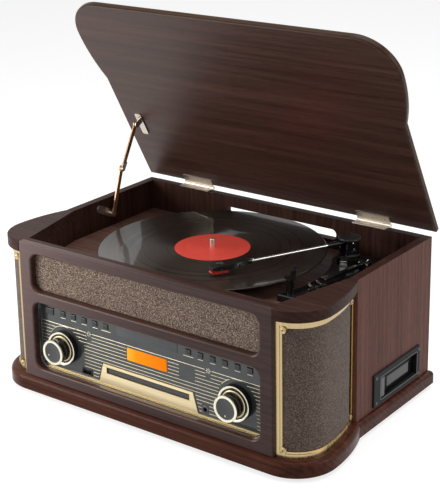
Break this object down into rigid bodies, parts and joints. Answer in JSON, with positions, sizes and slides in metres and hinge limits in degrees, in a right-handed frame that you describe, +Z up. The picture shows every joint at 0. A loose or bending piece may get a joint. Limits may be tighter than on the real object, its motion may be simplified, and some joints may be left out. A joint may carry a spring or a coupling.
{
  "type": "stereo music centre",
  "caption": "Wooden music centre: record player under a hinged lid with folding stay, radio and slot disc player in front, bowed cloth speaker columns, cassette bay at the side.",
  "frame": {"origin": "on the surface that the feet stand on, midway between the side panels, and midway between the front of the knobs and the ends of the rear sockets", "axes": "+X to the right as seen from the front, +Y to the back, +Z up; the lid stands open at rest"},
  "size_m": [0.51, 0.336, 0.4995],
  "materials": {
    "plinth_wood": "satin lacquer",
    "foot_rubber": "matt",
    "fascia_wood": "satin lacquer",
    "crown_wood": "satin lacquer",
    "wall_wood": "satin lacquer",
    "side_wood": "satin lacquer",
    "black_plastic": "fine texture",
    "deck_wood": "satin lacquer",
    "gold_frame": "brushed",
    "speaker_cloth": "woven",
    "speaker_black": "matt",
    "panel_slate": "printed lines",
    "gold_plate": "brushed",
    "display_orange": "lit window",
    "board_green": "circuit board",
    "loader_steel": "plated",
    "knob_black": "ribbed, cream rings",
    "bezel_grey": "satin",
    "flap_black": "gloss",
    "transformer_steel": "lacquered",
    "pulley_brass": "turned",
    "belt_rubber": "matt",
    "platter_black": "satin",
    "mat_felt": "felt",
    "vinyl": "grooved",
    "gloss_black": "gloss",
    "arm_tube": "satin tube, black headshell",
    "stylus_red": "gloss",
    "switch_black": "bright tip",
    "lid_wood": "satin lacquer",
    "hinge_nickel": "nickel plated",
    "stay_copper": "copper plated",
    "button_black": "satin"
  },
  "bodies": {
    "cabinet": {"plinth": "plinth_wood", "feet": "foot_rubber", "fascia": "fascia_wood", "crown": "crown_wood", "speaker_baffles": "wall_wood", "left_side_panel": "side_wood", "right_side_panel": "side_wood", "rear_panel": "wall_wood", "rear_socket_plate": "black_plastic", "deck": "deck_wood", "left_speaker_frame": "gold_frame", "right_speaker_frame": "gold_frame", "speaker_cloths": "speaker_cloth", "speakers": "speaker_black", "front_grille": "speaker_cloth", "control_panel": "panel_slate", "cd_trim": "gold_plate", "display": "display_orange", "front_board": "board_green", "cd_mechanism": "loader_steel", "cassette_bezel": "bezel_grey", "cassette_mechanism": "loader_steel", "power_transformer": "transformer_steel", "turntable_motor": "transformer_steel", "drive_belt": "belt_rubber", "tonearm_base": "gloss_black", "cabinet_hinge_leaves": "hinge_nickel", "stay_wall_bracket": "hinge_nickel"},
    "turntable": {"platter": "platter_black", "slip_mat": "mat_felt", "record": "vinyl"},
    "pulley": {"motor_pulley": "pulley_brass"},
    "lid": {"lid": "lid_wood", "lid_hinge_leaves": "hinge_nickel", "stay_lid_bracket": "hinge_nickel"},
    "stay_lower": {"stay_lower_link": "stay_copper"},
    "stay_upper": {"stay_upper_link": "stay_copper"},
    "arm_pivot": {"tonearm_pivot": "gloss_black"},
    "tonearm": {"tonearm": "arm_tube", "cartridge": "stylus_red"},
    "cue_lever": {"cue_lever": "gloss_black"},
    "arm_clip": {"arm_clip": "gloss_black"},
    "speed_switch": {"speed_switch": "switch_black"},
    "autostop_switch": {"autostop_switch": "switch_black"},
    "volume_knob": {"volume_knob": "knob_black"},
    "tuning_knob": {"tuning_knob": "knob_black"},
    "cassette_flap": {"cassette_flap": "flap_black"},
    "eject_button": {"eject_button": "bezel_grey"},
    "button_1": {"button_1": "button_black"},
    "button_2": {"button_2": "button_black"},
    "button_3": {"button_3": "button_black"},
    "button_4": {"button_4": "button_black"},
    "button_5": {"button_5": "button_black"},
    "button_6": {"button_6": "button_black"},
    "button_7": {"button_7": "button_black"},
    "button_8": {"button_8": "button_black"},
    "button_9": {"button_9": "button_black"},
    "button_10": {"button_10": "button_black"},
    "button_11": {"button_11": "button_black"},
    "button_12": {"button_12": "button_black"}
  },
  "joints": [
    {"name": "lid_hinge", "type": "hinge", "parent": "cabinet", "child": "lid", "pos_m": [0, 0.1602, 0.21435], "axis": [1, 0, 0], "range_deg": [0, 61]},
    {"name": "stay_lower_pivot", "type": "hinge", "parent": "cabinet", "child": "stay_lower", "pos_m": [-0.2152, 0.048, 0.1894], "axis": [1, 0, 0], "range_deg": [0, 104.5]},
    {"name": "stay_upper_pivot", "type": "hinge", "parent": "lid", "child": "stay_upper", "pos_m": [-0.2129, 0.0996, 0.30996], "axis": [1, 0, 0], "range_deg": [-111, 0]},
    {"name": "platter_spin", "type": "hinge", "parent": "cabinet", "child": "turntable", "pos_m": [-0.012, 0.012, 0.175], "axis": [0, 0, 1], "continuous": true},
    {"name": "pulley_spin", "type": "hinge", "parent": "cabinet", "child": "pulley", "pos_m": [-0.074, 0.074, 0.175], "axis": [0, 0, 1], "continuous": true},
    {"name": "arm_swing", "type": "hinge", "parent": "cabinet", "child": "arm_pivot", "pos_m": [0.147, 0.096, 0.187], "axis": [0, 0, 1], "range_deg": [-16, 28]},
    {"name": "arm_lift", "type": "hinge", "parent": "arm_pivot", "child": "tonearm", "pos_m": [0.147, 0.096, 0.207], "axis": [-0.8695, 0.4939, 0], "range_deg": [0, 3]},
    {"name": "cue_lever", "type": "hinge", "parent": "cabinet", "child": "cue_lever", "pos_m": [0.176, 0.086, 0.185], "axis": [-0.9778, 0.2096, 0], "range_deg": [0, 15]},
    {"name": "arm_clip", "type": "hinge", "parent": "cabinet", "child": "arm_clip", "pos_m": [0.148, -0.0319, 0.2076], "axis": [0, 1, 0], "range_deg": [-85, 0]},
    {"name": "speed_switch", "type": "hinge", "parent": "cabinet", "child": "speed_switch", "pos_m": [0.164, -0.016, 0.179], "axis": [0, 0, 1], "range_deg": [-25, 25]},
    {"name": "autostop_switch", "type": "hinge", "parent": "cabinet", "child": "autostop_switch", "pos_m": [0.168, 0, 0.179], "axis": [0, 0, 1], "range_deg": [-25, 25]},
    {"name": "volume_knob", "type": "hinge", "parent": "cabinet", "child": "volume_knob", "pos_m": [-0.1388, -0.157, 0.0742], "axis": [0, 1, 0], "range_deg": [-150, 150]},
    {"name": "tuning_knob", "type": "hinge", "parent": "cabinet", "child": "tuning_knob", "pos_m": [0.1388, -0.157, 0.0742], "axis": [0, 1, 0], "continuous": true},
    {"name": "button_1", "type": "slide", "parent": "cabinet", "child": "button_1", "axis": [0, 1, 0], "range_m": [0, 0.001], "stiffness_N_per_m": 1500},
    {"name": "button_2", "type": "slide", "parent": "cabinet", "child": "button_2", "axis": [0, 1, 0], "range_m": [0, 0.001], "stiffness_N_per_m": 1500},
    {"name": "button_3", "type": "slide", "parent": "cabinet", "child": "button_3", "axis": [0, 1, 0], "range_m": [0, 0.001], "stiffness_N_per_m": 1500},
    {"name": "button_4", "type": "slide", "parent": "cabinet", "child": "button_4", "axis": [0, 1, 0], "range_m": [0, 0.001], "stiffness_N_per_m": 1500},
    {"name": "button_5", "type": "slide", "parent": "cabinet", "child": "button_5", "axis": [0, 1, 0], "range_m": [0, 0.001], "stiffness_N_per_m": 1500},
    {"name": "button_6", "type": "slide", "parent": "cabinet", "child": "button_6", "axis": [0, 1, 0], "range_m": [0, 0.001], "stiffness_N_per_m": 1500},
    {"name": "button_7", "type": "slide", "parent": "cabinet", "child": "button_7", "axis": [0, 1, 0], "range_m": [0, 0.001], "stiffness_N_per_m": 1500},
    {"name": "button_8", "type": "slide", "parent": "cabinet", "child": "button_8", "axis": [0, 1, 0], "range_m": [0, 0.001], "stiffness_N_per_m": 1500},
    {"name": "button_9", "type": "slide", "parent": "cabinet", "child": "button_9", "axis": [0, 1, 0], "range_m": [0, 0.001], "stiffness_N_per_m": 1500},
    {"name": "button_10", "type": "slide", "parent": "cabinet", "child": "button_10", "axis": [0, 1, 0], "range_m": [0, 0.001], "stiffness_N_per_m": 1500},
    {"name": "button_11", "type": "slide", "parent": "cabinet", "child": "button_11", "axis": [0, 1, 0], "range_m": [0, 0.001], "stiffness_N_per_m": 1500},
    {"name": "button_12", "type": "slide", "parent": "cabinet", "child": "button_12", "axis": [0, 1, 0], "range_m": [0, 0.001], "stiffness_N_per_m": 1500},
    {"name": "cassette_flap", "type": "hinge", "parent": "cabinet", "child": "cassette_flap", "pos_m": [0.2294, 0.085, 0.054], "axis": [0, 1, 0], "range_deg": [0, 80], "stiffness_Nm_per_rad": 0.01},
    {"name": "eject_button", "type": "slide", "parent": "cabinet", "child": "eject_button", "axis": [-1, 0, 0], "range_m": [0, 0.003], "stiffness_N_per_m": 600}
  ],
  "couplings": [
    {"joint": "stay_lower_pivot", "follows": "lid_hinge", "ratio": 1.7097},
    {"joint": "stay_upper_pivot", "follows": "lid_hinge", "ratio": -1.8151},
    {"joint": "pulley_spin", "follows": "platter_spin", "ratio": 15},
    {"joint": "arm_lift", "follows": "cue_lever", "ratio": 0.2}
  ]
}
